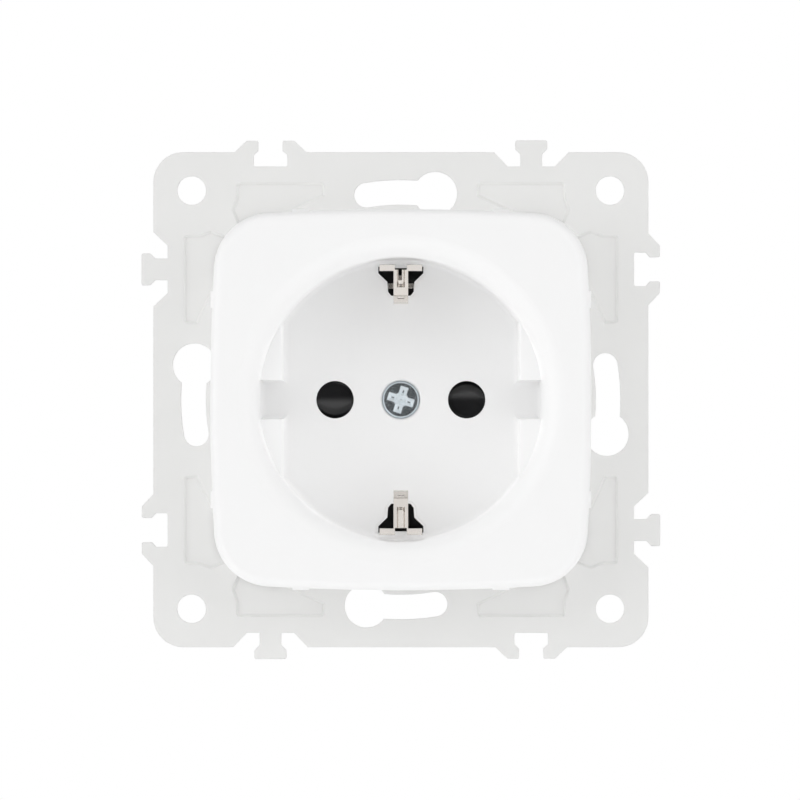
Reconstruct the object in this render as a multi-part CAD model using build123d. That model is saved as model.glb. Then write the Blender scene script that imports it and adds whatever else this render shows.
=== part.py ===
from build123d import *
import math
import os

os.makedirs("parts", exist_ok=True)

# Flush-mounted earthed socket insert, as it sits on the wall: +X right, +Z up,
# -Y out into the room.  The origin is the middle of the mounting plate, on the
# wall plane.  Sizes are in millimetres.  A height is the distance in front of
# the wall plane, so what is inside the wall box has a negative height.

# Mounting plate
PLATE_SIDE = 71.0
PLATE_CORNER_R = 4.3
SHEET = 1.0
PAD_DEPTH = 0.45
PAD_SLOPE = 35.0
PLATE_BACK = PAD_DEPTH
PLATE_FRONT = PLATE_BACK + SHEET
FIXING_PITCH = 60.0
CORNER_HOLE_R = 2.05
SLOT_RING_R = 29.75
SLOT_WIDTH = 3.55
SLOT_HALF_ANGLE = 9.5
SLOT_BULB_R = 3.12
COUPLING_OFFSET = 18.7
COUPLING_REACH = 1.65
COUPLING_POCKET = 2.05

# Cover and plug well
COVER_HALF = 27.13
COVER_BOW_R = 342.0
COVER_CORNER_R = 8.1
COVER_EDGE_R = 1.2
COVER_WALL = 1.6
COVER_RISE = 10.0
FACE = PLATE_FRONT + COVER_RISE
WELL_R = 20.25
WELL_DEPTH = 17.5
WELL_WALL = 1.35
WELL_FOOT_R = 0.8
FLARE_R = 3.25
LEDGE_DEPTH = 3.4
LEDGE_RIM_R = 0.35
FLAT_X = 16.9
NOTCH_WIDTH = 5.55
FLOOR = FACE - WELL_DEPTH
FLOOR_THICKNESS = 1.8
FLOOR_BACK = FLOOR - FLOOR_THICKNESS
PIN_X = 9.5
PIN_HOLE_R = 2.7

# Cover screw
COVER_SCREW_HEAD_R = 2.7
COVER_SCREW_HEAD = 1.9
COVER_SCREW_TURN = -17.0
SCREW_SEAT_GAP = 0.06
SCREW_SEAT_BEVEL = 0.24
SCREW_R = 1.5
BOSS_R = 4.2

# Shutter between the well floor and the contact cover
SHUTTER_ROOM = 2.8
SHUTTER_LOBE_ANGLE = 18.5
SHUTTER_LOBE_R = 12.8
SHUTTER_RING_R = 6.3
RAMP_DEPTH = 1.3
CONTACT_COVER_FRONT = FLOOR_BACK - SHUTTER_ROOM
CONTACT_COVER_THICKNESS = 2.4
SPRING_R = 5.3
SPRING_WIRE_R = 0.2
SPRING_TURNS = 2.5

# Base
BASE_SEAT = CONTACT_COVER_FRONT - CONTACT_COVER_THICKNESS
BASE_BACK = -30.0
BASE_STEP = -16.0
SEAT_GAP = 0.2
CUP_WALL = 1.55
POCKET_BACK = -27.2
EAR_AT = 18.4
EAR_R = 3.3
EAR_THICKNESS = 3.0

# Earth strap and its two clips
STRAP = 0.8
STRAP_HALF = 3.0
CLIP_HALF = 1.05
SHOULDER_HALF = 1.85
SHOULDER_Z = (16.0, 16.7)
SHOULDER_TOP = -1.2
CLIP_BAR_HALF = 3.05
CLIP_BAR_FROM = 18.4
CLIP_NOTCH_HALF = 0.85
TOP_SLIT_X = (-0.35, 0.15)
CLIP_AT = 17.6
TOP_CLIP_TIP = 13.55
BOTTOM_CLIP_TIP = 12.75
TIP_FACET = 1.25
CLIP_BEND_HEIGHT = -2.5
CLIP_TIP_HEIGHT = 1.2
CLIP_KNEE_HEIGHT = 3.0
CLIP_END = 19.3
CLIP_END_HEIGHT = 6.2
BEAD_R = 0.62
BEAD_DEPTH = 0.4
BEAD_SHIFT = 1.0
BEAD_SHORTER = 1.6
BUSH_NECK_R = 2.0
WINDOW_HALF = 1.95
WINDOW_BAR_HALF = 3.25
WINDOW_INNER = 15.0
WINDOW_OUTER = 19.65
WINDOW_TAB = 19.0
WINDOW_FRAME = 0.35
WINDOW_FRAME_DEPTH = 0.05

# Pin contacts and terminals
CONTACT = 0.7
CONTACT_HALF = 2.6
TERMINAL_Z = 13.2
TERMINAL_HEIGHT = -21.5
TERMINAL_FRONT = -16.6
TONGUE_HALF = 3.5
BAY_HALF = 4.4
WIRE_OFFSET = 2.9
WIRE_HOLE_R = 1.4
TERMINAL_SCREW_R = 1.75

# Spreading claws
CLAW_SCREW_X = 22.7
CLAW_Z = 9.6
CLAW_HALF = 3.4
CLAW_SHEET = 0.9
CLAW_BALL_R = 2.55
CLAW_BACK = -15.6
CLAW_SCREW_END = -19.0


def at_height(height):
    """Drawing plane parallel to the wall, looking at the socket from the room."""
    return Plane.XZ.offset(height)


def slab(outline, low, high):
    """An outline drawn from the room, made solid between two heights."""
    return extrude(at_height(low) * outline, high - low, dir=(0, -1, 0))


def rod(x, z, radius, low, high):
    """Round bar that stands out of the wall."""
    return slab(Pos(x, z) * Circle(radius), low, high)


def across_x(outline, half_width, x=0.0):
    """An outline drawn as (z, height), made solid across X."""
    plane = Plane(origin=(x - half_width, 0, 0), x_dir=(0, 0, 1), z_dir=(1, 0, 0))
    return extrude(plane * outline, 2 * half_width, dir=(1, 0, 0))


def across_z(outline, half_width, z=0.0):
    """An outline drawn as (x, height), made solid across Z."""
    plane = Plane(origin=(0, 0, z + half_width), x_dir=(1, 0, 0), z_dir=(0, 0, -1))
    return extrude(plane * outline, 2 * half_width, dir=(0, 0, -1))


def turned(outline):
    """An outline drawn as (radius, height), turned about the middle axis."""
    plane = Plane(origin=(0, 0, 0), x_dir=(1, 0, 0), z_dir=(0, 0, -1))
    return revolve(plane * outline, Axis.Y, 360)


def block(x_range, z_range, low, high):
    """Straight block given by its limits."""
    width = x_range[1] - x_range[0]
    tall = z_range[1] - z_range[0]
    middle = Pos((x_range[0] + x_range[1]) / 2, (z_range[0] + z_range[1]) / 2)
    return slab(middle * Rectangle(width, tall), low, high)


def folded(points, radius, thickness):
    """Side view of a folded strip, from the middle line of its sheet."""
    return trace(FilletPolyline(*points, radius=radius), thickness)


def mirrored(points):
    """Outline from the points of its right half, which start and end on the middle line."""
    left = [(-x, y) for x, y in reversed(points[1:-1])]
    return Polygon(*points, *left, align=None)


def half_turn(shape):
    """The same piece on the opposite side of the middle axis."""
    return Rot(0, 180, 0) * shape


def well_profile(grow):
    """Plan of the plug well: a round with two flats and a guide notch in each."""
    radius = WELL_R + grow
    flats = Circle(radius) & Rectangle(2 * (FLAT_X + grow), 4 * radius)
    notches = Circle(radius) & Rectangle(4 * radius, NOTCH_WIDTH + 2 * grow)
    return flats + notches


def pillow(half, bow_radius, corner_radius):
    """Square outline with slightly bowed sides and round corners."""
    outline = Circle(bow_radius)
    discs = [Rot(0, 0, 90 * k) * Pos(0, half - bow_radius) * outline for k in range(4)]
    outline = discs[0] & discs[1] & discs[2] & discs[3]
    return fillet(outline.vertices(), corner_radius)


# Screws stand along +Z with the top of the head at the origin

def cross_recess(arm, reach, depth):
    """Cross-shaped driver recess: four sloped arms round a deeper cone."""
    bars = Rectangle(2 * reach, arm) + Rectangle(arm, 2 * reach)
    arms = extrude(bars, -arm * 0.26, taper=58)
    return arms + Pos(0, 0, -depth / 2) * Rot(180, 0, 0) * Cone(arm * 0.9, arm * 0.1, depth)


def pan_screw(head_r, head, shank_r, length, arm, reach):
    """Cross-recessed screw with a slightly bevelled flat head."""
    cap = Pos(0, 0, -head / 2) * Cylinder(head_r, head)
    cap = chamfer(cap.edges().group_by(Axis.Z)[-1], 0.25)
    shank = Pos(0, 0, -head - length / 2) * Cylinder(shank_r, length)
    shank = chamfer(shank.edges().group_by(Axis.Z)[0], 0.3)
    return cap + shank - cross_recess(arm, reach, arm * 0.7)


def facing_room(x, z, height):
    """Place of a screw whose head looks into the room."""
    return Plane(origin=(x, -height, z), x_dir=(1, 0, 0), z_dir=(0, -1, 0))


# Mounting plate

def coupling_hooks():
    """The two hooks round a coupling pocket, as one raised piece of the edge."""
    edge = PLATE_SIDE / 2
    top = edge + COUPLING_REACH
    raised = Polygon((-5.15, edge - 1), (5.15, edge - 1), (5.15, edge), (3.4, top), (-3.4, top),
                     (-5.15, edge), align=None)
    return fillet(raised.vertices().group_by(Axis.Y)[-1], 0.3)


def coupling_pocket():
    """The keyhole-shaped cut that takes the tongue of the next plate."""
    edge = PLATE_SIDE / 2
    top = edge + COUPLING_REACH
    floor = edge - COUPLING_POCKET
    pocket = mirrored([(0, floor), (2.41, floor), (2.41, edge - 0.4), (1.73, edge + 0.2),
                       (1.73, top - 0.2), (1.93, top + 0.1), (0, top + 0.1)])
    corners = [v for v in pocket.vertices() if abs(v.X) > 1 and v.Y < edge]
    return fillet(corners, 0.25)


def coupling_clearance():
    """The cut beside a tongue, where the hooks of the next plate lie."""
    edge = PLATE_SIDE / 2
    floor = edge - COUPLING_POCKET
    return Polygon((-5.45, edge + 0.1), (-3.4, floor), (3.4, floor), (5.45, edge + 0.1), align=None)


def coupling_tongue():
    """The dovetail tongue that hooks into the pocket of the next plate."""
    edge = PLATE_SIDE / 2
    top = edge + COUPLING_REACH + 0.05
    floor = edge - COUPLING_POCKET - 0.2
    tongue = mirrored([(0, floor), (1.56, floor), (1.56, edge - 0.3), (2.3, edge + 0.45),
                       (2.3, top), (0, top)])
    corners = [v for v in tongue.vertices() if abs(v.X) > 1 and v.Y > edge - 1]
    return fillet(corners, 0.3)


def keyhole_slot():
    """Curved keyhole slot at the top of the plate, with its bulb on the right."""
    middle_line = CenterArc((0, 0), SLOT_RING_R, 90 - SLOT_HALF_ANGLE, 2 * SLOT_HALF_ANGLE)
    bulb_angle = math.radians(90 - SLOT_HALF_ANGLE)
    bulb_x = FIXING_PITCH / 2 * math.cos(bulb_angle)
    bulb = Pos(bulb_x, FIXING_PITCH / 2 * math.sin(bulb_angle)) * Circle(SLOT_BULB_R)
    return SlotArc(middle_line, SLOT_WIDTH) + bulb


def pad_outline():
    """Pressed pad beside the upper right corner, on the top side of the plate."""
    pad = Polygon((10.9, 29.2), (17.4, 26.2), (21.3, 22.8), (23.5, 25.3), (24.25, 27.2), (23.6, 29.0),
                  (23.6, 31.15), (11.0, 31.15), align=None)
    sharp = pad.vertices().sort_by(Axis.Y)[-2:]
    pad = fillet(sharp, 0.5)
    soft = [v for v in pad.vertices() if v.X > 23.3 and v.Y < 30]
    pad = fillet(soft, 0.8)
    return pad


def plate_outline():
    """Flat blank of the plate with its couplings, holes and slots."""
    sheet = RectangleRounded(PLATE_SIDE, PLATE_SIDE, PLATE_CORNER_R)
    for k in range(4):
        turn = Rot(0, 0, -90 * k)
        sheet += turn * Pos(-COUPLING_OFFSET, 0) * coupling_hooks()
        sheet -= turn * Pos(-COUPLING_OFFSET, 0) * coupling_pocket()
        sheet -= turn * Pos(COUPLING_OFFSET, 0) * coupling_clearance()
        sheet += turn * Pos(COUPLING_OFFSET, 0) * coupling_tongue()
        sheet -= turn * keyhole_slot()
    corner = FIXING_PITCH / 2
    sheet -= [Pos(x, z) * Circle(CORNER_HOLE_R) for x in (-corner, corner) for z in (-corner, corner)]
    sheet -= well_profile(WELL_WALL + 2 * SEAT_GAP)
    for sign in (-1, 1):
        sheet -= Pos(sign * (CLAW_SCREW_X + 0.5), sign * CLAW_Z) * SlotOverall(4.5, 2 * 1.7)
        for other in (-1, 1):
            sheet -= Pos(sign * EAR_AT, other * EAR_AT) * Circle(1.5)
    return sheet


def mounting_plate():
    """Steel plate whose eight pressed pads stand on the wall."""
    plate = slab(plate_outline(), PLATE_BACK, PLATE_FRONT)
    right = pad_outline()
    left = mirror(right, Plane.YZ)
    for k in range(4):
        for pad in (right, left):
            bottom = Rot(0, 0, -90 * k) * offset(pad, -PAD_DEPTH * math.tan(math.radians(PAD_SLOPE)))
            pressing = extrude(at_height(0) * bottom, PAD_DEPTH, taper=-PAD_SLOPE)
            plate -= Pos(0, -SHEET, 0) * pressing
            plate += pressing
    return plate


# Cover

def snap_nibs():
    """Eight small wedges on the sides of the cover, which hold a frame."""
    nibs = []
    for k in range(4):
        for along in (-14.3, 14.3):
            wedge = Polygon((26.0, 4.6), (27.2, 5.6), (26.0, 7.6), align=None)
            nibs.append(Rot(0, 90 * k, 0) * across_z(wedge, 1.2, along))
    return nibs


def clip_window():
    """T-shaped window through which an earth clip passes, with a small tab at its outer edge."""
    outline = mirrored([(0, WINDOW_INNER), (1.4, WINDOW_INNER), (WINDOW_HALF - 0.1, WINDOW_INNER + 0.6),
                        (WINDOW_HALF, 17.0), (WINDOW_BAR_HALF, 18.25), (WINDOW_BAR_HALF, WINDOW_OUTER),
                        (1.15, WINDOW_OUTER), (0.8, WINDOW_TAB), (0, WINDOW_TAB)])
    return fillet(outline.vertices().filter_by_position(Axis.Y, 0, WINDOW_INNER + 0.1), 0.3)


def cover():
    """White cover: face, skirt, plug well, pin holes and the windows of the clips."""
    outline = pillow(COVER_HALF, COVER_BOW_R, COVER_CORNER_R)
    shell = slab(outline, PLATE_FRONT, FACE)
    shell = fillet(shell.faces().sort_by(Axis.Y)[0].edges(), COVER_EDGE_R)
    hollow = pillow(COVER_HALF - COVER_WALL, COVER_BOW_R, COVER_CORNER_R - COVER_WALL)
    shell -= slab(hollow, PLATE_FRONT, FACE - COVER_WALL)
    ledge = FACE - LEDGE_DEPTH
    shell += slab(well_profile(WELL_WALL), FLOOR_BACK, FACE - 1)
    shell += slab(Circle(WELL_R + WELL_WALL), ledge - WELL_WALL, FACE - 1)
    shell += rod(0, 0, BOSS_R, CONTACT_COVER_FRONT, FLOOR_BACK)
    shell += snap_nibs()

    well = slab(well_profile(0), FLOOR, FACE)
    shell -= fillet(well.faces().sort_by(Axis.Y)[-1].edges(), WELL_FOOT_R)
    shell -= slab(Circle(WELL_R), ledge, FACE)
    flare_end = FACE - FLARE_R
    flare = Polygon((0, flare_end), (WELL_R, flare_end), (WELL_R + FLARE_R, FACE), (0, FACE), align=None)
    flare -= Pos(WELL_R + FLARE_R, flare_end) * Circle(FLARE_R)
    shell -= turned(flare)

    window = slab(clip_window(), FLOOR_BACK, FLOOR)
    opening = window + slab(offset(clip_window(), WINDOW_FRAME), FLOOR - WINDOW_FRAME_DEPTH, FLOOR)
    shell -= opening
    shell -= half_turn(opening)
    for sign in (-1, 1):
        shell -= rod(sign * PIN_X, 0, PIN_HOLE_R, FLOOR_BACK, FLOOR)
    head_seat = FLOOR - COVER_SCREW_HEAD - 0.1
    seat_r = COVER_SCREW_HEAD_R + SCREW_SEAT_GAP
    shell -= rod(0, 0, seat_r, head_seat, FLOOR)
    rim = Polygon((0, FLOOR - SCREW_SEAT_BEVEL), (seat_r, FLOOR - SCREW_SEAT_BEVEL),
                  (seat_r + SCREW_SEAT_BEVEL, FLOOR), (0, FLOOR), align=None)
    shell -= turned(rim)
    shell -= rod(0, 0, SCREW_R + 0.15, CONTACT_COVER_FRONT, FLOOR)
    rims = shell.edges().filter_by(Axis.Z)
    rims = [e for e in rims if abs(e.center().Y + ledge) < 0.01]
    rims = [e for e in rims if abs(abs(e.center().X) - FLAT_X) < 0.01]
    return fillet(rims, LEDGE_RIM_R)


def cover_screw():
    """Screw that holds the cover to the earth strap."""
    screw = pan_screw(COVER_SCREW_HEAD_R, COVER_SCREW_HEAD, SCREW_R, 9.0, 1.15, 1.92)
    return facing_room(0, 0, FLOOR - 0.1) * Rot(0, 0, COVER_SCREW_TURN) * screw


# Shutter

def shutter():
    """Turning shutter: two lobes over the pin holes, each with a ramp for its pin."""
    front = FLOOR_BACK - 0.2
    back = CONTACT_COVER_FRONT + 0.05
    piece = slab(Circle(SHUTTER_RING_R) - Circle(BOSS_R + 0.1), back, front)
    reach = 2 * SHUTTER_LOBE_R
    spread = reach * math.tan(math.radians(SHUTTER_LOBE_ANGLE))
    lobe = Circle(SHUTTER_LOBE_R) - Circle(SHUTTER_RING_R - 0.5)
    lobe &= Polygon((0, 0), (reach, -spread), (reach, spread), align=None)
    ramp = Polygon((0.2, front), (4.6, front - RAMP_DEPTH), (4.6, front), align=None)
    right = slab(lobe, back + 0.3, front) - across_x(ramp, 3.3, SHUTTER_RING_R + 3.3)
    piece += right
    piece += half_turn(right)
    return piece - rod(0, SPRING_R, 0.3, back, back + 1.2)


def shutter_spring():
    """Torsion spring in the groove of the contact cover, with its two bent ends."""
    low = CONTACT_COVER_FRONT - 1.2
    pitch = 0.42
    coil = Helix(pitch, pitch * SPRING_TURNS, SPRING_R)
    start = coil @ 0
    section = Plane(origin=start, z_dir=coil % 0) * RegularPolygon(SPRING_WIRE_R, 6)
    wire = sweep(section, coil, is_frenet=True)
    return Plane(origin=(0, -low, 0), x_dir=(1, 0, 0), z_dir=(0, -1, 0)) * wire


def contact_cover():
    """Insulating plate under the shutter, with pin holes and clip windows."""
    radius = WELL_R + WELL_WALL
    outline = Circle(radius) & Rectangle(2 * (FLAT_X + WELL_WALL), 4 * radius)
    plate = slab(outline, BASE_SEAT, CONTACT_COVER_FRONT)
    for sign in (-1, 1):
        plate -= rod(sign * PIN_X, 0, PIN_HOLE_R, BASE_SEAT, CONTACT_COVER_FRONT)
        plate -= rod(sign * 13.5, 11.5, 1.3, BASE_SEAT, CONTACT_COVER_FRONT)
        z_range = (14.5, 19.6) if sign > 0 else (-19.6, -14.5)
        plate -= block((-3.4, 3.4), z_range, BASE_SEAT, CONTACT_COVER_FRONT)
    plate -= rod(0, 0, SCREW_R + 0.15, BASE_SEAT, CONTACT_COVER_FRONT)
    groove = Circle(SPRING_R + 0.6) - Circle(SPRING_R - 0.6)
    return plate - slab(groove, CONTACT_COVER_FRONT - 1.5, CONTACT_COVER_FRONT)


def contact_cover_screws():
    """The two small screws of the contact cover."""
    screw = pan_screw(2.3, 1.4, 1.2, 8.0, 0.8, 1.5)
    return [facing_room(x, 11.5, CONTACT_COVER_FRONT + 1.4) * screw for x in (-13.5, 13.5)]


# Base

def contact_pocket(x):
    """Pocket of one pin contact, open to the front, with its terminal tongue."""
    return block((x - BAY_HALF, x + BAY_HALF), (-TERMINAL_Z - STRAP, 3.0), POCKET_BACK, BASE_SEAT)


def terminal_bay(x, side):
    """Open bay of one terminal and the two wire holes behind it."""
    z_range = (TERMINAL_Z, 26.0) if side > 0 else (-26.0, -TERMINAL_Z)
    bay = block((x - BAY_HALF, x + BAY_HALF), z_range, POCKET_BACK, TERMINAL_FRONT)
    wire_z = side * (TERMINAL_Z + STRAP + WIRE_HOLE_R)
    for sign in (-1, 1):
        bay += rod(x + sign * WIRE_OFFSET, wire_z, WIRE_HOLE_R, BASE_BACK, POCKET_BACK)
        funnel = Cone(WIRE_HOLE_R, WIRE_HOLE_R + 0.7, 1.4)
        bay += Plane(origin=(x + sign * WIRE_OFFSET, -BASE_BACK - 0.7, wire_z), z_dir=(0, 1, 0)) * funnel
    return bay


def base():
    """Insulating body: a cup round the plug well and a block that holds the contacts."""
    cup = well_profile(WELL_WALL + SEAT_GAP + CUP_WALL)
    body = slab(cup, BASE_STEP, PLATE_BACK)
    block_part = slab(well_profile(WELL_WALL + 0.6), BASE_BACK, BASE_STEP)
    body += chamfer(block_part.faces().sort_by(Axis.Y)[-1].edges(), 0.7)
    ear = Circle(EAR_R) + Pos(-5, 0) * Rectangle(10, 2 * EAR_R)
    for k in range(4):
        angle = 45 + 90 * k
        place = Rot(0, 0, angle) * Pos(EAR_AT * math.sqrt(2), 0)
        body += slab(place * ear, PLATE_BACK - EAR_THICKNESS, PLATE_BACK)
    body -= slab(well_profile(WELL_WALL + SEAT_GAP), BASE_SEAT, PLATE_BACK)
    body -= contact_pocket(-PIN_X)
    body -= contact_pocket(PIN_X)
    body -= terminal_bay(-PIN_X, -1)
    body -= terminal_bay(PIN_X, -1)
    body -= terminal_bay(0, 1)
    groove = block((-STRAP_HALF, STRAP_HALF), (-19.2, 19.2), BASE_SEAT - STRAP, BASE_SEAT)
    body -= groove
    body -= block((-TONGUE_HALF, TONGUE_HALF), (TERMINAL_Z, TERMINAL_Z + STRAP), POCKET_BACK, BASE_SEAT)
    body -= Pos(0, -TERMINAL_HEIGHT, TERMINAL_Z - 1.5) * Cylinder(TERMINAL_SCREW_R + 0.2, 3)
    body -= rod(0, 0, 2.8, -19.5, BASE_SEAT)
    for x in (-13.5, 13.5):
        body -= rod(x, 11.5, 1.2, -20.0, BASE_SEAT)
    for x in (-EAR_AT, EAR_AT):
        for z in (-EAR_AT, EAR_AT):
            body -= rod(x, z, 1.5, PLATE_BACK - EAR_THICKNESS, PLATE_BACK)
    return body


def plate_rivets():
    """Four rivets between the plate and the ears of the base."""
    rivets = []
    for x in (-EAR_AT, EAR_AT):
        for z in (-EAR_AT, EAR_AT):
            shank = rod(x, z, 1.5, PLATE_BACK - EAR_THICKNESS, PLATE_FRONT)
            head = rod(x, z, 2.5, PLATE_FRONT, PLATE_FRONT + 0.8)
            tail = rod(x, z, 2.2, PLATE_BACK - EAR_THICKNESS - 0.8, PLATE_BACK - EAR_THICKNESS)
            head = chamfer(head.edges().group_by(Axis.Y)[0], 0.35)
            rivets.append(shank + head + tail)
    return rivets


# Contacts and terminals

def pin_contact(x):
    """Fork contact of one pin, folded from one strip with its terminal tongue."""
    base_height = POCKET_BACK + CONTACT / 2
    middle = CONTACT / 2
    right = [(0, base_height), (3.2, base_height), (3.4, -22.5), (2.15 + middle, -17.6), (3.7, -14.2)]
    left = [(-px, height) for px, height in right]
    leaves = folded(right, 0.9, CONTACT) + folded(left, 0.9, CONTACT)
    fork = across_z(leaves, CONTACT_HALF)
    tongue = [(0, base_height), (-TERMINAL_Z - CONTACT / 2, base_height),
              (-TERMINAL_Z - CONTACT / 2, TERMINAL_FRONT - 0.3)]
    strip = across_x(folded(tongue, 0.9, CONTACT), TONGUE_HALF - 0.3)
    strip -= Pos(0, -TERMINAL_HEIGHT, -TERMINAL_Z) * Cylinder(TERMINAL_SCREW_R, 4)
    return Pos(x, 0, 0) * (fork + strip)


def clamp_plate(x, side):
    """Square washer with turned-up edges that presses on the wires."""
    plate = Box(2 * TONGUE_HALF + 1, 7.0, 1.0) - Cylinder(TERMINAL_SCREW_R + 0.1, 4)
    plate = fillet(plate.edges().filter_by(Axis.Z).filter_by(GeomType.LINE), 0.6)
    z = side * (TERMINAL_Z + STRAP + 2 * WIRE_HOLE_R - 0.4)
    return Pos(x, -TERMINAL_HEIGHT, z) * (plate if side < 0 else Rot(0, 180, 0) * plate)


def terminal_screw(x, side):
    """Terminal screw whose head looks up or down out of its bay."""
    screw = pan_screw(2.9, 2.2, TERMINAL_SCREW_R, 5.4, 1.0, 2.0)
    top = side * (TERMINAL_Z + STRAP + 2 * WIRE_HOLE_R + 0.1 + 2.2)
    place = Plane(origin=(x, -TERMINAL_HEIGHT, top), x_dir=(1, 0, 0), z_dir=(0, 0, side))
    return place * screw


def clip_profile(tip):
    """Side view of one clip: riser, bend inwards to the tip, tip facet and lead-in."""
    run = BASE_SEAT - STRAP / 2
    middle = tip + STRAP / 2
    knee = middle + TIP_FACET
    reach = 1.0
    rise = (CLIP_END_HEIGHT - CLIP_KNEE_HEIGHT) / (CLIP_END - knee)
    points = [(0, run), (CLIP_AT, run), (CLIP_AT, CLIP_BEND_HEIGHT), (middle, CLIP_TIP_HEIGHT),
              (knee, CLIP_KNEE_HEIGHT), (CLIP_END + reach, CLIP_END_HEIGHT + reach * rise)]
    return folded(points, 0.6, STRAP)


def clip_bead(tip):
    """Round bar that presses the lengthwise valley into the lead-in of a clip."""
    knee = tip + STRAP / 2 + TIP_FACET
    rise = CLIP_END_HEIGHT - CLIP_KNEE_HEIGHT
    run = CLIP_END - knee
    length = math.hypot(rise, run)
    lift = STRAP / 2 + BEAD_R - BEAD_DEPTH
    z = (knee + CLIP_END + BEAD_SHIFT) / 2 - lift * rise / length
    height = (CLIP_KNEE_HEIGHT + CLIP_END_HEIGHT + BEAD_SHIFT * rise / run) / 2 + lift * run / length
    return Plane(origin=(0, -height, z), z_dir=(0, -rise, run)) * Cylinder(BEAD_R, length - BEAD_SHORTER)


def earth_clip(tip):
    """The upper clip with its half of the strap, pressed and notched but not slit."""
    profile = clip_profile(tip)
    above_floor = (CLIP_KNEE_HEIGHT, CLIP_END_HEIGHT + 3)
    everywhere = (-CLIP_BAR_HALF - 1, CLIP_BAR_HALF + 1)
    run = block((-STRAP_HALF, STRAP_HALF), (0, 13), BASE_SEAT - STRAP, BASE_SEAT)
    bar = across_x(profile, CLIP_BAR_HALF) & block(everywhere, (CLIP_BAR_FROM, 20), *above_floor)
    notch = block((-CLIP_NOTCH_HALF, CLIP_NOTCH_HALF), (CLIP_BAR_FROM + 0.2, 20), *above_floor)
    dash = across_x(Pos(tip + 1.0, CLIP_TIP_HEIGHT + 1.65) * Circle(0.28), 0.5)
    trim = block(everywhere, (CLIP_END, CLIP_END + 5), *above_floor)
    return across_x(profile, CLIP_HALF) + run + bar - trim - clip_bead(tip) - notch - dash


def earth_strap():
    """One bent strip: the run behind the well, both earth clips and the terminal tongue."""
    top = earth_clip(TOP_CLIP_TIP)
    shoulder = across_x(clip_profile(TOP_CLIP_TIP), SHOULDER_HALF)
    top += shoulder & block((-3, 3), SHOULDER_Z, CLIP_BEND_HEIGHT - 1.5, SHOULDER_TOP)
    top -= block(TOP_SLIT_X, (17.1, 19.0), BASE_SEAT + 3, CLIP_END_HEIGHT + 2)
    bottom = earth_clip(BOTTOM_CLIP_TIP)
    bottom -= block((-CLIP_NOTCH_HALF, CLIP_NOTCH_HALF), (18.35, 20), CLIP_KNEE_HEIGHT, CLIP_END_HEIGHT + 3)
    strap = top + half_turn(bottom)
    tongue_x = (0.3 - TONGUE_HALF, TONGUE_HALF - 0.3)
    tongue = block(tongue_x, (TERMINAL_Z, TERMINAL_Z + STRAP), -26.0, BASE_SEAT)
    tongue -= Pos(0, -TERMINAL_HEIGHT, TERMINAL_Z) * Cylinder(TERMINAL_SCREW_R, 4)
    strap += tongue
    return strap - rod(0, 0, BUSH_NECK_R, BASE_SEAT - STRAP, BASE_SEAT)


def threaded_bush():
    """Brass bush, riveted into the earth strap, that takes the cover screw."""
    bush = rod(0, 0, BUSH_NECK_R, BASE_SEAT - STRAP, BASE_SEAT)
    bush += rod(0, 0, 2.8, -18.5, BASE_SEAT - STRAP)
    return bush - rod(0, 0, SCREW_R, -18.5, BASE_SEAT)


# Spreading claws

def claw():
    """Folded claw of the right side: web, threaded lug and toothed wing."""
    web_x = FLAT_X + WELL_WALL + SEAT_GAP + CUP_WALL + 0.15 + CLAW_SHEET / 2
    points = [(web_x, -2.2), (web_x, CLAW_BACK), (25.2, CLAW_BACK), (25.9, -8.6)]
    piece = across_z(folded(points, 0.9, CLAW_SHEET), CLAW_HALF, CLAW_Z)
    tooth_gap = Polygon((0, -1.6), (CLAW_HALF / 3, 0), (-CLAW_HALF / 3, 0), align=None)
    for along in (-CLAW_HALF / 3, CLAW_HALF / 3):
        plane = Plane(origin=(24.5, 8.5, CLAW_Z + along), x_dir=(0, 0, 1), z_dir=(1, 0, 0))
        piece -= extrude(plane * tooth_gap, 3)
    return piece - rod(CLAW_SCREW_X, CLAW_Z, SCREW_R, CLAW_BACK - 1, CLAW_BACK + 1)


def claw_screw():
    """Screw of the right claw, with a ball-shaped seat so that it can tilt."""
    pivot = PLATE_FRONT + math.sqrt(CLAW_BALL_R ** 2 - 1.67 ** 2)
    ball = Pos(CLAW_SCREW_X, -pivot, CLAW_Z) * Sphere(CLAW_BALL_R)
    ball -= rod(CLAW_SCREW_X, CLAW_Z, 3, pivot, pivot + 3)
    head = rod(CLAW_SCREW_X, CLAW_Z, CLAW_BALL_R, pivot, pivot + 1.4)
    head = chamfer(head.edges().group_by(Axis.Y)[0], 0.3)
    shank = rod(CLAW_SCREW_X, CLAW_Z, SCREW_R, CLAW_SCREW_END, pivot)
    recess = facing_room(CLAW_SCREW_X, CLAW_Z, pivot + 1.4) * cross_recess(0.9, 1.7, 0.7)
    return ball + head + shank - recess


SUB_PARTS = {
    "cover": cover(),
    "cover_screw": cover_screw(),
    "shutter": shutter(),
    "shutter_spring": shutter_spring(),
    "contact_cover": contact_cover(),
    "contact_cover_screws": contact_cover_screws(),
    "mounting_plate": mounting_plate(),
    "plate_rivets": plate_rivets(),
    "base": base(),
    "live_contact": pin_contact(-PIN_X),
    "neutral_contact": pin_contact(PIN_X),
    "earth_strap": earth_strap(),
    "threaded_bush": threaded_bush(),
    "live_clamp_plate": clamp_plate(-PIN_X, -1),
    "neutral_clamp_plate": clamp_plate(PIN_X, -1),
    "earth_clamp_plate": clamp_plate(0, 1),
    "live_terminal_screw": terminal_screw(-PIN_X, -1),
    "neutral_terminal_screw": terminal_screw(PIN_X, -1),
    "earth_terminal_screw": terminal_screw(0, 1),
    "right_claw": claw(),
    "left_claw": half_turn(claw()),
    "right_claw_screw": claw_screw(),
    "left_claw_screw": half_turn(claw_screw()),
}

for name, piece in SUB_PARTS.items():
    if isinstance(piece, list):
        piece = Compound(children=piece)
    export_step(piece, f"parts/{name}.step")
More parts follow.
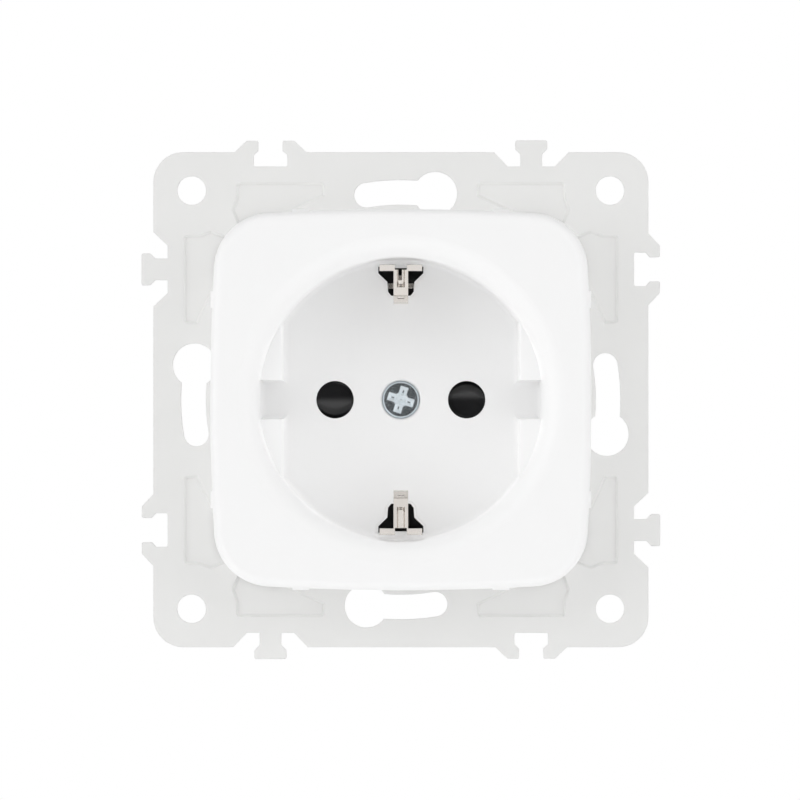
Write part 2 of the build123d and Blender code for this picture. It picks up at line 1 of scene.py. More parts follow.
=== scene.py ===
"""Looks of a flush-mounted earthed socket insert.

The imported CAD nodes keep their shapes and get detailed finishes.  What repeats or
follows a rule, such as screw threads, the shutter's spring and the grip ribs of the
clamp plates, is made with Geometry Nodes and rides on the CAD bodies.
"""

import logging
import math
from dataclasses import dataclass, field
from enum import Enum

import bpy
from mathutils import Euler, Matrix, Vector


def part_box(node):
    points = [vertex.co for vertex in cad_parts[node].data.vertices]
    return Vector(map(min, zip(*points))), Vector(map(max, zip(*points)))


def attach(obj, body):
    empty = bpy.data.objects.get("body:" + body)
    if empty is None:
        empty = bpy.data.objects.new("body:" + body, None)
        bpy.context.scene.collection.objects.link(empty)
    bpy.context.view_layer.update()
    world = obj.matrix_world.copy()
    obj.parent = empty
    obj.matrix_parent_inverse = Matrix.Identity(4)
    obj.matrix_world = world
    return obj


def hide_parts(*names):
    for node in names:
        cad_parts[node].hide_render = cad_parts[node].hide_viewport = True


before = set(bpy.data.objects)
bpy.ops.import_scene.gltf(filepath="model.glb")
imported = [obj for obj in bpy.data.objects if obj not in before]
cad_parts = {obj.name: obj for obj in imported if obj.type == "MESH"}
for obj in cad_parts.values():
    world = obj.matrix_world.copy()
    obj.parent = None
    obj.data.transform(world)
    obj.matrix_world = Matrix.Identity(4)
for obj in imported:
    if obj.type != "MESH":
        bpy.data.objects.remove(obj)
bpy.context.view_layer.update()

MM = 0.001
LOG = logging.getLogger("socket")

Colour = tuple[float, float, float]
Point = tuple[float, float, float]
Socket = bpy.types.NodeSocket

WHITE: Colour = (1.0, 1.0, 1.0)
SAME_EVERY_WAY: Point = (1.0, 1.0, 1.0)
RIDGE_TO_PITCH = 0.32


class Grain(Enum):
    """Direction of the fine lines that rolling leaves on a metal."""

    ALONG_X = (0.06, 1.0, 1.0)
    ALONG_Z = (1.0, 1.0, 0.06)
    NONE = SAME_EVERY_WAY


class Facing(Enum):
    """Way that an axis points, as the turn that brings +Z there."""

    ROOM = (math.pi / 2, 0.0, 0.0)
    UP = (0.0, 0.0, 0.0)
    RIGHT = (0.0, math.pi / 2, 0.0)


def maths(tree: bpy.types.NodeTree, operation: str, *values: Socket | float) -> Socket:
    """Adds a Math node to a tree.

    Args:
        tree: The tree of a material, the world or a form.
        operation: Blender's name of the operation.
        *values: Sockets or numbers that it works on.

    Returns:
        The socket with the result.
    """
    node = tree.nodes.new("ShaderNodeMath")
    node.operation = operation
    for slot, value in zip(node.inputs, values):
        if isinstance(value, Socket):
            tree.links.new(value, slot)
        else:
            slot.default_value = value
    return node.outputs[0]


def opaque(colour: Colour) -> tuple[float, float, float, float]:
    """The colour with full alpha."""
    return (*colour, 1.0)


def scaled(colour: Colour, factor: float) -> Colour:
    """The same colour, darker or lighter."""
    return tuple(min(1.0, part * factor) for part in colour)


def in_scene(name: str, data: bpy.types.ID) -> bpy.types.Object:
    """Makes an object and links it into the scene.

    Args:
        name: Name of the object.
        data: Its mesh, lamp or camera.

    Returns:
        The new object, at the origin.
    """
    body = bpy.data.objects.new(name, data)
    bpy.context.scene.collection.objects.link(body)
    return body


# Finishes

class SurfaceNodes:
    """Shader nodes of one material, added one at a time."""

    noise_range: tuple[float, float] = (0.3, 0.7)
    tint_range: tuple[float, float] = (0.2, 0.8)

    def __init__(self, name: str) -> None:
        """Starts a material that has only a Principled shader and its output.

        Args:
            name: Name of the material.
        """
        self.material = bpy.data.materials.new(name)
        self.material.use_nodes = True
        self.tree = self.material.node_tree
        self.tree.nodes.clear()
        self.shader = self.tree.nodes.new("ShaderNodeBsdfPrincipled")
        output = self.tree.nodes.new("ShaderNodeOutputMaterial")
        self.tree.links.new(self.shader.outputs["BSDF"], output.inputs["Surface"])
        self.place = self.tree.nodes.new("ShaderNodeTexCoord").outputs["Object"]

    def set(self, name: str, value: float) -> None:
        """Sets one constant on the shader's own socket."""
        self.shader.inputs[name].default_value = value

    def feed(self, name: str, source: Socket) -> None:
        """Links a pattern into the shader."""
        self.tree.links.new(source, self.shader.inputs[name])

    def noise(self, cells_per_m: float, detail: float, stretch: Point = SAME_EVERY_WAY) -> Socket:
        """Adds a noise pattern in object space.

        Args:
            cells_per_m: How many cells lie along one metre.
            detail: Number of finer octaves.
            stretch: Scale of the pattern on each axis.

        Returns:
            The socket with the pattern's value, about 0.3 to 0.7.
        """
        mapping = self.tree.nodes.new("ShaderNodeMapping")
        mapping.inputs["Scale"].default_value = stretch
        self.tree.links.new(self.place, mapping.inputs["Vector"])
        noise = self.tree.nodes.new("ShaderNodeTexNoise")
        noise.inputs["Scale"].default_value = cells_per_m
        noise.inputs["Detail"].default_value = detail
        self.tree.links.new(mapping.outputs["Vector"], noise.inputs["Vector"])
        return noise.outputs["Fac"]

    def gloss(self, pattern: Socket, roughness: float, swing: float) -> None:
        """Lets the roughness follow a pattern.

        Args:
            pattern: A noise pattern.
            roughness: Middle of the roughness.
            swing: Share by which the roughness goes under and over its middle.
        """
        spread = self.tree.nodes.new("ShaderNodeMapRange")
        limits = (*self.noise_range, roughness * (1.0 - swing), roughness * (1.0 + swing))
        for name, value in zip(("From Min", "From Max", "To Min", "To Max"), limits):
            spread.inputs[name].default_value = value
        self.tree.links.new(pattern, spread.inputs["Value"])
        self.feed("Roughness", spread.outputs["Result"])

    def tint(self, pattern: Socket, colour: Colour, shade: float) -> None:
        """Lets the colour follow a pattern.

        Args:
            pattern: A noise pattern.
            colour: The lightest colour.
            shade: How dark the darkest one is, as a share of the lightest.
        """
        ramp = self.tree.nodes.new("ShaderNodeValToRGB")
        tones = (scaled(colour, shade), colour)
        for stop, position, tone in zip(ramp.color_ramp.elements, self.tint_range, tones):
            stop.position = position
            stop.color = opaque(tone)
        self.tree.links.new(pattern, ramp.inputs["Fac"])
        self.feed("Base Color", ramp.outputs["Color"])

    def edge_round(self, radius: float) -> Socket:
        """Breaks sharp edges in the shading.

        Args:
            radius: Reach of the rounding in metres.

        Returns:
            The socket with the rounded normal.
        """
        soft = self.tree.nodes.new("ShaderNodeBevel")
        soft.samples = 4
        soft.inputs["Radius"].default_value = radius
        return soft.outputs["Normal"]

    def relief(self, pattern: Socket, depth: float, under: Socket) -> Socket:
        """Adds a fine relief on top of another normal.

        Args:
            pattern: Height of the relief, from 0 to 1.
            depth: Depth of the relief in metres.
            under: The normal that it starts from.

        Returns:
            The socket with the new normal.
        """
        bump = self.tree.nodes.new("ShaderNodeBump")
        bump.inputs["Strength"].default_value = 1.0
        bump.inputs["Distance"].default_value = depth
        self.tree.links.new(pattern, bump.inputs["Height"])
        self.tree.links.new(under, bump.inputs["Normal"])
        return bump.outputs["Normal"]

    def centre_cone(self, radius: float) -> Socket:
        """Adds a pattern that rises towards the Y axis.

        Args:
            radius: Distance from the axis in metres where the rise starts.

        Returns:
            The socket with the pattern's value, 0 at the radius and 1 on the axis.
        """
        split = self.tree.nodes.new("ShaderNodeSeparateXYZ")
        self.tree.links.new(self.place, split.inputs["Vector"])
        squares = [maths(self.tree, "MULTIPLY", split.outputs[axis], split.outputs[axis]) for axis in "XZ"]
        reach = maths(self.tree, "SQRT", maths(self.tree, "ADD", *squares))
        inward = maths(self.tree, "SUBTRACT", 1.0, maths(self.tree, "DIVIDE", reach, radius))
        return maths(self.tree, "MAXIMUM", inward, 0.0)


@dataclass(frozen=True)
class MouldedPlastic:
    """Injection-moulded plastic with a fine spark-eroded texture."""

    name: str
    colour: Colour
    roughness: float
    shade: float
    texture_per_m: float = 5200.0
    texture_depth: float = 0.0045 * MM
    edge: float = 0.12 * MM
    shine: float = 0.5
    flow_per_m: float = 55.0
    gloss_per_m: float = 210.0
    gloss_swing: float = 0.07

    def make(self) -> bpy.types.Material:
        """Builds the material.

        Returns:
            The material, under the finish's name.
        """
        nodes = SurfaceNodes(self.name)
        nodes.tint(nodes.noise(self.flow_per_m, detail=3.0), self.colour, self.shade)
        nodes.gloss(nodes.noise(self.gloss_per_m, detail=2.0), self.roughness, self.gloss_swing)
        texture = nodes.noise(self.texture_per_m, detail=2.0)
        nodes.feed("Normal", nodes.relief(texture, self.texture_depth, nodes.edge_round(self.edge)))
        nodes.set("IOR", 1.49)
        nodes.set("Specular IOR Level", self.shine)
        return nodes.material


@dataclass(frozen=True)
class PaintedSteel:
    """Powder-coated sheet with a faint orange-peel surface."""

    name: str
    colour: Colour
    roughness: float
    shade: float = 0.98
    cloud_per_m: float = 90.0
    gloss_swing: float = 0.1
    peel_per_m: float = 900.0
    peel_depth: float = 0.012 * MM
    edge: float = 0.15 * MM

    def make(self) -> bpy.types.Material:
        """Builds the material.

        Returns:
            The material, under the finish's name.
        """
        nodes = SurfaceNodes(self.name)
        cloud = nodes.noise(self.cloud_per_m, detail=4.0)
        nodes.tint(cloud, self.colour, self.shade)
        nodes.gloss(cloud, self.roughness, self.gloss_swing)
        peel = nodes.noise(self.peel_per_m, detail=1.0)
        nodes.feed("Normal", nodes.relief(peel, self.peel_depth, nodes.edge_round(self.edge)))
        nodes.set("IOR", 1.5)
        return nodes.material


@dataclass(frozen=True)
class PlatedMetal:
    """Bare or plated metal with rolling lines and uneven gloss.

    The foot is the worn cone in the middle of the cover screw's recess, the only metal on the Y axis.
    """

    name: str
    colour: Colour
    roughness: float
    grain: Grain = Grain.NONE
    shade: float = 0.9
    grain_per_m: float = 9000.0
    grain_depth: float = 0.002 * MM
    edge: float = 0.08 * MM
    foot_radius: float = 0.0
    foot_slope: float = 0.5
    cloud_per_m: float = 420.0
    gloss_swing: float = 0.25

    def make(self) -> bpy.types.Material:
        """Builds the material.

        Returns:
            The material, under the finish's name.
        """
        nodes = SurfaceNodes(self.name)
        nodes.tint(nodes.noise(self.cloud_per_m, detail=4.0), self.colour, self.shade)
        lines = nodes.noise(self.grain_per_m, detail=3.0, stretch=self.grain.value)
        nodes.gloss(lines, self.roughness, self.gloss_swing)
        under = nodes.edge_round(self.edge)
        if self.foot_radius:
            foot = nodes.centre_cone(self.foot_radius)
            under = nodes.relief(foot, self.foot_radius * self.foot_slope, under)
        nodes.feed("Normal", nodes.relief(lines, self.grain_depth, under))
        nodes.set("Metallic", 1.0)
        return nodes.material


FINISHES = (
    MouldedPlastic("white_plastic", (0.96, 0.96, 0.96), roughness=0.3, shade=0.994),
    MouldedPlastic("black_plastic", (0.025, 0.024, 0.024), roughness=0.42, shade=0.7,
                   texture_per_m=3400.0, texture_depth=0.009 * MM),
    MouldedPlastic("shutter_plastic", (0.012, 0.012, 0.013), roughness=0.16, shade=0.85,
                   texture_per_m=2600.0, texture_depth=0.0015 * MM, edge=1.2 * MM, shine=0.7),
    PaintedSteel("plate_paint", (0.82, 0.82, 0.81), roughness=0.48),
    PlatedMetal("nickel_plate", (0.76, 0.72, 0.68), roughness=0.2, grain=Grain.ALONG_Z, shade=0.93,
                edge=0.12 * MM),
    PlatedMetal("brass", (0.78, 0.58, 0.3), roughness=0.21, grain=Grain.ALONG_X),
    PlatedMetal("zinc_steel", (0.69, 0.755, 0.8), roughness=0.2, shade=0.85, grain_per_m=3800.0,
                grain_depth=0.011 * MM, edge=0.16 * MM, foot_radius=1.0 * MM),
    PlatedMetal("spring_steel", (0.55, 0.55, 0.56), roughness=0.2),
)


class FinishShelf:
    """The materials, each made once, by the name of its slot in the record."""

    def __init__(self) -> None:
        """Makes every material."""
        self.materials = {finish.name: finish.make() for finish in FINISHES}

    def get(self, slot: str) -> bpy.types.Material:
        """The material of one slot."""
        return self.materials[slot]

    def dress(self, slot: str, *nodes: str) -> None:
        """Gives CAD nodes their finish and keeps their meshes as they are.

        Args:
            slot: Name of the finish.
            *nodes: Names of the CAD nodes.
        """
        for node in nodes:
            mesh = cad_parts[node].data
            mesh.materials.clear()
            mesh.materials.append(self.get(slot))
            LOG.info("%s: CAD node in %s", node, slot)


# Geometry Nodes

class FormTree:
    """A Geometry Nodes tree with named inputs, built in code."""

    def __init__(self, name: str) -> None:
        """Starts a tree that reads the carrier's points.

        Args:
            name: Name of the tree.
        """
        self.tree = bpy.data.node_groups.new(name, "GeometryNodeTree")
        for way in ("INPUT", "OUTPUT"):
            self.tree.interface.new_socket(name="Geometry", in_out=way, socket_type="NodeSocketGeometry")
        self.entry = self.tree.nodes.new("NodeGroupInput")
        self.identifiers: dict[str, str] = {}

    def number(self, name: str, value: float) -> Socket:
        """Adds a named number input and returns its socket."""
        return self._input(name, "NodeSocketFloat", value)

    def vector(self, name: str, value: Point) -> Socket:
        """Adds a named vector input and returns its socket."""
        return self._input(name, "NodeSocketVector", value)

    def _input(self, name: str, kind: str, value: float | Point) -> Socket:
        """Adds a named input of any kind and keeps its identifier.

        Args:
            name: Name of the input.
            kind: Blender's name of its socket type.
            value: Value that it has until a form sets it.

        Returns:
            The socket inside the tree.
        """
        item = self.tree.interface.new_socket(name=name, in_out="INPUT", socket_type=kind)
        item.default_value = value
        self.identifiers[name] = item.identifier
        return self.entry.outputs[name]

    def node(self, kind: str, **inputs: Socket | float | bool) -> Socket:
        """Adds one node.

        Args:
            kind: Blender's name of the node type.
            **inputs: Sockets to link or values to set, by input name with _ for a space.

        Returns:
            The first output socket.
        """
        node = self.tree.nodes.new(kind)
        for name, value in inputs.items():
            slot = node.inputs[name.replace("_", " ")]
            if isinstance(value, Socket):
                self.tree.links.new(value, slot)
            else:
                slot.default_value = value
        return node.outputs[0]

    def coil(self, radius: Socket, rotations: Socket, height: Socket, steps: int) -> Socket:
        """A spiral up +Z.

        Args:
            radius: Radius of the spiral.
            rotations: Number of turns.
            height: Height of the spiral.
            steps: Points in one turn.

        Returns:
            The curve.
        """
        return self.node("GeometryNodeCurveSpiral", Resolution=steps, Rotations=rotations,
                         Start_Radius=radius, End_Radius=radius, Height=height)

    def sweep(self, curve: Socket, radius: Socket, sides: int) -> Socket:
        """Sweeps a round section with the given number of sides along a curve."""
        section = self.node("GeometryNodeCurvePrimitiveCircle", Resolution=sides, Radius=radius)
        return self.node("GeometryNodeCurveToMesh", Curve=curve, Profile_Curve=section, Fill_Caps=True)

    def close(self, form: Socket, facing: Facing, material: bpy.types.Material) -> "FormTree":
        """Puts a form on each point and ends the tree in Realize Instances and Set Material.

        Args:
            form: The form, which runs up +Z.
            facing: Way that it runs, unless the input Turn says another.
            material: The form's material.

        Returns:
            This tree.
        """
        turn = self.vector("Turn", facing.value)
        placed = self.node("GeometryNodeInstanceOnPoints", Points=self.entry.outputs["Geometry"],
                           Instance=form, Rotation=turn)
        real = self.node("GeometryNodeRealizeInstances", Geometry=placed)
        dressed = self.node("GeometryNodeSetMaterial", Geometry=real, Material=material)
        leave = self.tree.nodes.new("NodeGroupOutput")
        self.tree.links.new(dressed, leave.inputs["Geometry"])
        return self

    def bake(self, name: str, points: list[Point], values: dict[str, float | Point]) -> bpy.types.Object:
        """Runs the tree once and keeps its result as a plain mesh object.

        Args:
            name: Name of the new object.
            points: Places in metres that the tree works from.
            values: Values of the named inputs.

        Returns:
            The new object, at the origin and unscaled, with no modifier.
        """
        carrier_mesh = bpy.data.meshes.new(name + "_points")
        carrier_mesh.from_pydata([Vector(point) for point in points], [], [])
        carrier = in_scene(name + "_carrier", carrier_mesh)
        modifier = carrier.modifiers.new("Form", "NODES")
        modifier.node_group = self.tree
        for title, value in values.items():
            modifier[self.identifiers[title]] = value
        bpy.context.view_layer.update()
        evaluated = carrier.evaluated_get(bpy.context.evaluated_depsgraph_get())
        mesh = bpy.data.meshes.new_from_object(evaluated)
        mesh.name = name
        bpy.data.objects.remove(carrier)
        LOG.info("%s: %d faces", name, len(mesh.polygons))
        return in_scene(name, mesh)


def settle(piece: bpy.types.Object, body: str) -> None:
    """Makes a finished piece ride on a body."""
    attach(piece, body)


def thread_tree(material: bpy.types.Material) -> FormTree:
    """Screw thread round each point: a spiral ridge that starts at the point.

    Args:
        material: The metal's finish.

    Returns:
        The tree, with the inputs Radius, Pitch, Length and Turn.
    """
    form = FormTree("Screw thread")
    radius = form.number("Radius", 1.5 * MM)
    pitch = form.number("Pitch", 0.5 * MM)
    length = form.number("Length", 8 * MM)
    spiral = form.coil(radius, maths(form.tree, "DIVIDE", length, pitch), length, steps=20)
    thread = form.sweep(spiral, maths(form.tree, "MULTIPLY", pitch, RIDGE_TO_PITCH), sides=4)
    return form.close(thread, Facing.UP, material)


def coil_tree(material: bpy.types.Material) -> FormTree:
    """Torsion spring that winds up from each point.

    Args:
        material: The metal's finish.

    Returns:
        The tree, with the inputs Radius, Wire radius, Turns, Height and Turn.
    """
    form = FormTree("Torsion spring")
    radius = form.number("Radius", 5.3 * MM)
    wire = form.number("Wire radius", 0.17 * MM)
    turns = form.number("Turns", 2.5)
    height = form.number("Height", 1.0 * MM)
    coil = form.sweep(form.coil(radius, turns, height, steps=56), wire, sides=10)
    smooth = form.node("GeometryNodeSetShadeSmooth", Geometry=coil)
    return form.close(smooth, Facing.ROOM, material)


def rib_tree(material: bpy.types.Material) -> FormTree:
    """Pair of pressed half-round ribs that starts at each point.

    Args:
        material: The metal's finish.

    Returns:
        The tree, with the inputs Length, Ridge, Apart and Turn.
    """
    form = FormTree("Grip ribs")
    length = form.number("Length", 6 * MM)
    ridge = form.number("Ridge", 0.15 * MM)
    apart = form.number("Apart", 0.7 * MM)
    line = form.node("GeometryNodeCurvePrimitiveLine", End=form.node("ShaderNodeCombineXYZ", Z=length))
    step = form.node("ShaderNodeCombineXYZ", Y=apart)
    row = form.node("GeometryNodeMeshLine", Count=2, Offset=step)
    bar = form.sweep(line, ridge, sides=10)
    ribs = form.node("GeometryNodeInstanceOnPoints", Points=row, Instance=bar)
    return form.close(ribs, Facing.RIGHT, material)


# Sub-assemblies

@dataclass(frozen=True)
class Thread:
    """Thread of one kind of screw."""

    radius: float
    pitch: float
    length: float

    def cut(self, name: str, starts: list[Point], facing: Facing, body: str, shelf: FinishShelf) -> None:
        """Cuts equal threads as one piece.

        Args:
            name: Name of the piece.
            starts: Where each thread starts.
            facing: Way that it runs from there.
            body: Body that it rides on.
            shelf: The materials.
        """
        form = thread_tree(shelf.get("zinc_steel"))
        values = {"Radius": self.radius, "Pitch": self.pitch, "Length": self.length, "Turn": facing.value}
        settle(form.bake(name, starts, values), body)


@dataclass
class CoverAssembly:
    """White cover with its screw."""

    thread: Thread = Thread(1.5 * MM, 0.5 * MM, 5.5 * MM)
    end_gap: float = 0.4 * MM

    def build(self, shelf: FinishShelf) -> None:
        """Dresses the cover and the screw and cuts the screw's thread.

        Args:
            shelf: The materials.
        """
        shelf.dress("white_plastic", "cover")
        shelf.dress("zinc_steel", "cover_screw")
        _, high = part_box("cover_screw")
        start = (0.0, high.y - self.end_gap, 0.0)
        self.thread.cut("cover_screw_thread", [start], Facing.ROOM, "insert", shelf)


@dataclass
class ShutterAssembly:
    """Turning shutter and its return spring."""

    coil_radius: float = 5.29 * MM
    wire_radius: float = 0.17 * MM
    turns: float = 2.5
    end_room: float = 1.1

    def build(self, shelf: FinishShelf) -> None:
        """Dresses the shutter and coils the spring out of round wire.

        Args:
            shelf: The materials.
        """
        shelf.dress("shutter_plastic", "shutter")
        low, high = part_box("shutter_spring")
        inset = self.end_room * self.wire_radius
        form = coil_tree(shelf.get("spring_steel"))
        coil = form.bake("spring_coil", [(0.0, high.y - inset, 0.0)],
                         {"Radius": self.coil_radius, "Wire radius": self.wire_radius,
                          "Turns": self.turns, "Height": high.y - low.y - 2 * inset,
                          "Turn": Facing.ROOM.value})
        settle(coil, "insert")
        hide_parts("shutter_spring")


@dataclass
class PlateAssembly:
    """Mounting plate and the rivets that hold the base."""

    def build(self, shelf: FinishShelf) -> None:
        """Dresses the plate and the rivets."""
        shelf.dress("plate_paint", "mounting_plate")
        shelf.dress("zinc_steel", "plate_rivets")


@dataclass
class BaseAssembly:
    """Insulating base and the cover of its contacts."""

    def build(self, shelf: FinishShelf) -> None:
        """Dresses the mouldings and their screws."""
        shelf.dress("black_plastic", "base", "contact_cover")
        shelf.dress("zinc_steel", "contact_cover_screws")


@dataclass
class ContactAssembly:
    """Pin contacts, earth strap, clamp plates and terminal screws."""

    poles: tuple[str, ...] = ("live", "neutral", "earth")
    thread: Thread = Thread(1.75 * MM, 0.7 * MM, 3.0 * MM)
    rib_length: float = 6.0 * MM
    rib_radius: float = 0.15 * MM
    rib_apart: float = 0.7 * MM
    rib_margin: float = 0.4 * MM

    def build(self, shelf: FinishShelf) -> None:
        """Dresses the metal pieces, cuts the threads and presses the ribs of the clamp plates.

        Args:
            shelf: The materials.
        """
        shelf.dress("brass", "live_contact", "neutral_contact", "threaded_bush")
        shelf.dress("nickel_plate", "earth_strap")
        ribs = []
        for pole in self.poles:
            shelf.dress("zinc_steel", pole + "_clamp_plate", pole + "_terminal_screw")
            ribs += self.rib_starts(pole)
        starts = [self.thread_start(pole) for pole in self.poles]
        self.thread.cut("terminal_threads", starts, Facing.UP, "insert", shelf)
        form = rib_tree(shelf.get("zinc_steel"))
        grip = form.bake("clamp_ribs", ribs, {"Length": self.rib_length, "Ridge": self.rib_radius,
                                              "Apart": self.rib_apart, "Turn": Facing.RIGHT.value})
        settle(grip, "insert")

    def thread_start(self, pole: str) -> Point:
        """Lower end of the thread on the inner end of one terminal screw.

        Args:
            pole: Name of the screw's pole.

        Returns:
            The point where the thread starts upwards.
        """
        low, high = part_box(pole + "_terminal_screw")
        middle = (low + high) / 2
        return middle.x, middle.y, low.z if middle.z > 0 else high.z - self.thread.length

    def rib_starts(self, pole: str) -> list[Point]:
        """Places of the rib pairs on the wire side of one clamp plate, clear of its hole.

        Args:
            pole: Name of the plate's pole.

        Returns:
            The left end of each pair's front rib.
        """
        low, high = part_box(pole + "_clamp_plate")
        middle = (low + high) / 2
        wire_side = low.z if middle.z > 0 else high.z
        left = middle.x - self.rib_length / 2
        rows = (low.y + self.rib_margin, high.y - self.rib_margin - self.rib_apart)
        return [(left, row, wire_side) for row in rows]


@dataclass
class ClawAssembly:
    """One spreading claw with its screw."""

    side: str
    thread: Thread = Thread(1.5 * MM, 0.5 * MM, 16.0 * MM)
    end_gap: float = 0.3 * MM

    def build(self, shelf: FinishShelf) -> None:
        """Dresses the claw and cuts the thread of its screw.

        Args:
            shelf: The materials.
        """
        claw = self.side + "_claw"
        screw = claw + "_screw"
        shelf.dress("zinc_steel", claw, screw)
        low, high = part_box(screw)
        middle = (low + high) / 2
        start = (middle.x, high.y - self.end_gap, middle.z)
        self.thread.cut(screw + "_thread", [start], Facing.ROOM, claw, shelf)


# Studio

@dataclass
class Softbox:
    """One rectangular studio lamp."""

    name: str
    place: Point
    size: tuple[float, float]
    power: float

    def build(self) -> None:
        """Makes the lamp and aims it at the object."""
        lamp = bpy.data.lights.new(self.name, "AREA")
        lamp.shape = "RECTANGLE"
        lamp.size, lamp.size_y = self.size
        lamp.energy = self.power
        body = in_scene(self.name, lamp)
        body.location = self.place
        body.rotation_euler = (-Vector(self.place)).to_track_quat("-Z", "Y").to_euler()


@dataclass
class Camera:
    """Camera straight in front, as far away as the photograph's."""

    distance: float = 1.24
    view_width: float = 0.11474
    plate_front: float = 1.45 * MM
    sensor: float = 36.0
    aim: tuple[float, float] = (-0.12 * MM, -0.04 * MM)
    far_end: float = 10.0

    def build(self) -> None:
        """Places the camera and makes it the scene's."""
        data = bpy.data.cameras.new("camera")
        data.sensor_width = self.sensor
        data.lens = self.sensor * (self.distance - self.plate_front) / self.view_width
        data.clip_end = self.far_end
        body = in_scene("camera", data)
        body.location = (self.aim[0], -self.distance, self.aim[1])
        body.rotation_euler = Euler(Facing.ROOM.value)
        bpy.context.scene.camera = body


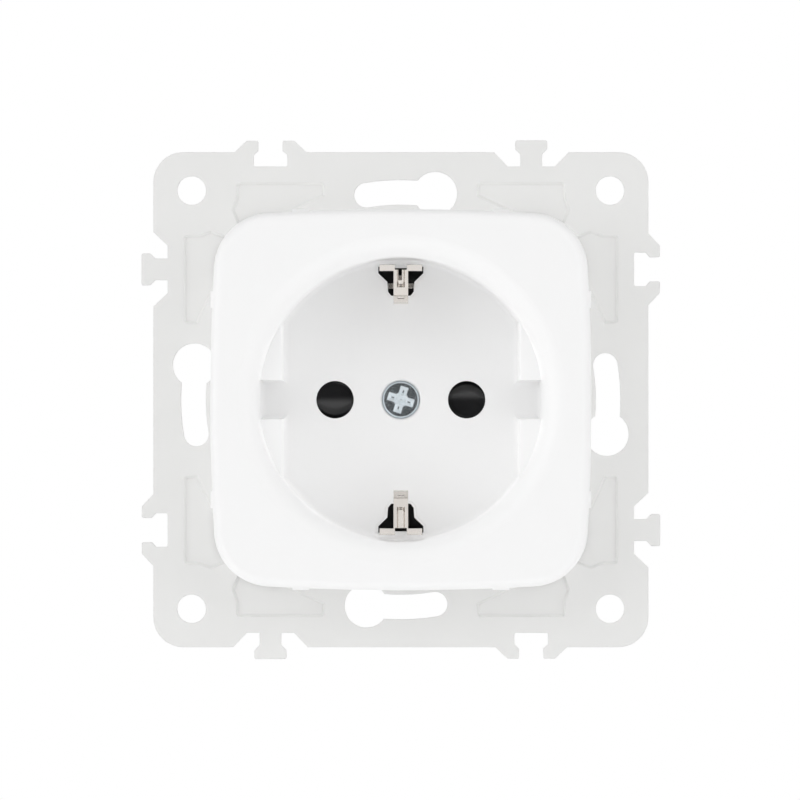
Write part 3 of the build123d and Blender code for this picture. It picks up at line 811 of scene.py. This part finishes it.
@dataclass
class LightTent:
    """World: soft light by angle, a white background and a dark room in front for reflections.

    The strengths go by the cosine of the angle between a direction and the camera's axis.
    """

    strengths: tuple[tuple[float, float], ...] = ((-0.4, 0.71), (0.1, 0.37), (0.5, 1.25), (0.78, 1.54),
                                                  (0.93, 0.38), (1.0, 0.02))
    gain: float = 2.0
    corner_fill: float = 0.66
    corner_depth: float = 2.5
    pole_shade: float = 0.4
    front_edge: tuple[float, float] = (-0.985, -0.86)
    front_levels: tuple[float, float] = (0.06, 0.93)

    def build(self) -> None:
        """Makes the world."""
        world = bpy.data.worlds.new("studio")
        world.use_nodes = True
        tree = world.node_tree
        tree.nodes.clear()
        link = tree.links.new
        path = tree.nodes.new("ShaderNodeLightPath").outputs
        split = tree.nodes.new("ShaderNodeSeparateXYZ")
        link(tree.nodes.new("ShaderNodeTexCoord").outputs["Generated"], split.inputs["Vector"])
        level = tree.nodes.new("ShaderNodeMix")
        link(path["Is Glossy Ray"], level.inputs["Factor"])
        link(self.lit(tree, split.outputs, path["Ray Depth"]), level.inputs["A"])
        link(self.reflected(tree, split.outputs["Y"]), level.inputs["B"])
        light, seen = (tree.nodes.new("ShaderNodeBackground") for _ in range(2))
        for shade in (light, seen):
            shade.inputs["Color"].default_value = opaque(WHITE)
        link(level.outputs["Result"], light.inputs["Strength"])
        mix = tree.nodes.new("ShaderNodeMixShader")
        link(maths(tree, "MAXIMUM", path["Is Camera Ray"], path["Is Transmission Ray"]), mix.inputs["Fac"])
        link(light.outputs["Background"], mix.inputs[1])
        link(seen.outputs["Background"], mix.inputs[2])
        output = tree.nodes.new("ShaderNodeOutputWorld")
        link(mix.outputs["Shader"], output.inputs["Surface"])
        bpy.context.scene.world = world

    def reflected(self, tree: bpy.types.NodeTree, along_y: Socket) -> Socket:
        """What a glossy surface sees: dark round the camera and a bright room beside it.

        Args:
            tree: The world's node tree.
            along_y: Part along Y of the direction that a ray leaves in.

        Returns:
            The strength.
        """
        room = tree.nodes.new("ShaderNodeMapRange")
        room.interpolation_type = "SMOOTHSTEP"
        limits = (*self.front_edge, *self.front_levels)
        for name, value in zip(("From Min", "From Max", "To Min", "To Max"), limits):
            room.inputs[name].default_value = value
        tree.links.new(along_y, room.inputs["Value"])
        return room.outputs["Result"]

    def lit(self, tree: bpy.types.NodeTree, direction: bpy.types.NodeOutputs, depth: Socket) -> Socket:
        """Strength of the light.

        Args:
            tree: The world's node tree.
            direction: The parts of the direction that a ray leaves in.
            depth: How often the ray has bounced.

        Returns:
            The strength by the angle to the camera's axis, less overhead and underfoot and more where
            light comes round corners.
        """
        # Cosines from -1 to 1 lie at 0 to 1 on the ramp, and the camera is on the -Y side.
        ramp = tree.nodes.new("ShaderNodeValToRGB")
        tree.links.new(maths(tree, "MULTIPLY_ADD", direction["Y"], -0.5, 0.5), ramp.inputs["Fac"])
        stops = ramp.color_ramp.elements
        while len(stops) < len(self.strengths):
            stops.new(0.5)
        for stop, (cosine, strength) in zip(stops, self.strengths):
            stop.position = (cosine + 1.0) / 2.0
            stop.color = opaque(scaled(WHITE, strength / self.gain))
        round_corners = maths(tree, "GREATER_THAN", depth, self.corner_depth)
        lift = maths(tree, "MULTIPLY_ADD", round_corners, self.corner_fill, 1.0)
        upright = maths(tree, "MULTIPLY", direction["Z"], direction["Z"])
        poles = maths(tree, "MULTIPLY_ADD", upright, -self.pole_shade, 1.0)
        level = maths(tree, "MULTIPLY", ramp.outputs["Color"], maths(tree, "MULTIPLY", lift, self.gain))
        return maths(tree, "MULTIPLY", level, poles)


@dataclass
class Floor:
    """Pale floor below the object, which takes its shadow."""

    half: float = 0.9
    height: float = -0.13
    colour: Colour = (0.93, 0.93, 0.93)
    roughness: float = 0.9

    def build(self) -> None:
        """Makes the floor."""
        mesh = bpy.data.meshes.new("floor")
        corners = [(x * self.half, y * self.half, self.height)
                   for x, y in ((-1, -1), (1, -1), (1, 1), (-1, 1))]
        mesh.from_pydata(corners, [], [(0, 1, 2, 3)])
        finish = bpy.data.materials.new("floor_paint")
        finish.use_nodes = True
        shader = finish.node_tree.nodes["Principled BSDF"]
        shader.inputs["Base Color"].default_value = opaque(self.colour)
        shader.inputs["Roughness"].default_value = self.roughness
        mesh.materials.append(finish)
        floor = in_scene("floor", mesh)


@dataclass
class Studio:
    """Camera, light tent, floor and lamps."""

    camera: Camera = field(default_factory=Camera)
    tent: LightTent = field(default_factory=LightTent)
    floor: Floor = field(default_factory=Floor)
    lamps: tuple[Softbox, ...] = field(default_factory=lambda: (
        Softbox("left_softbox", (-0.9, -0.5, 0.15), (0.5, 1.0), 1.45),
        Softbox("right_softbox", (0.9, -0.5, 0.1), (0.5, 1.0), 0.75),
        Softbox("top_softbox", (-0.25, -0.75, 0.85), (0.9, 0.6), 0.2),
    ))

    def build(self) -> None:
        """Builds the whole studio round the object."""
        for piece in (self.camera, self.tent, self.floor, *self.lamps):
            piece.build()
        scene = bpy.context.scene
        scene.view_settings.view_transform = "Standard"


def main() -> None:
    """Builds every sub-assembly in order."""
    logging.basicConfig(level=logging.INFO, format="%(name)s %(message)s")
    shelf = FinishShelf()
    assemblies = [CoverAssembly(), ShutterAssembly(), PlateAssembly(), BaseAssembly(), ContactAssembly(),
                  ClawAssembly("right"), ClawAssembly("left")]
    for assembly in assemblies:
        LOG.info("building %s", type(assembly).__name__)
        assembly.build(shelf)
    Studio().build()


if __name__ == "__main__":
    main()
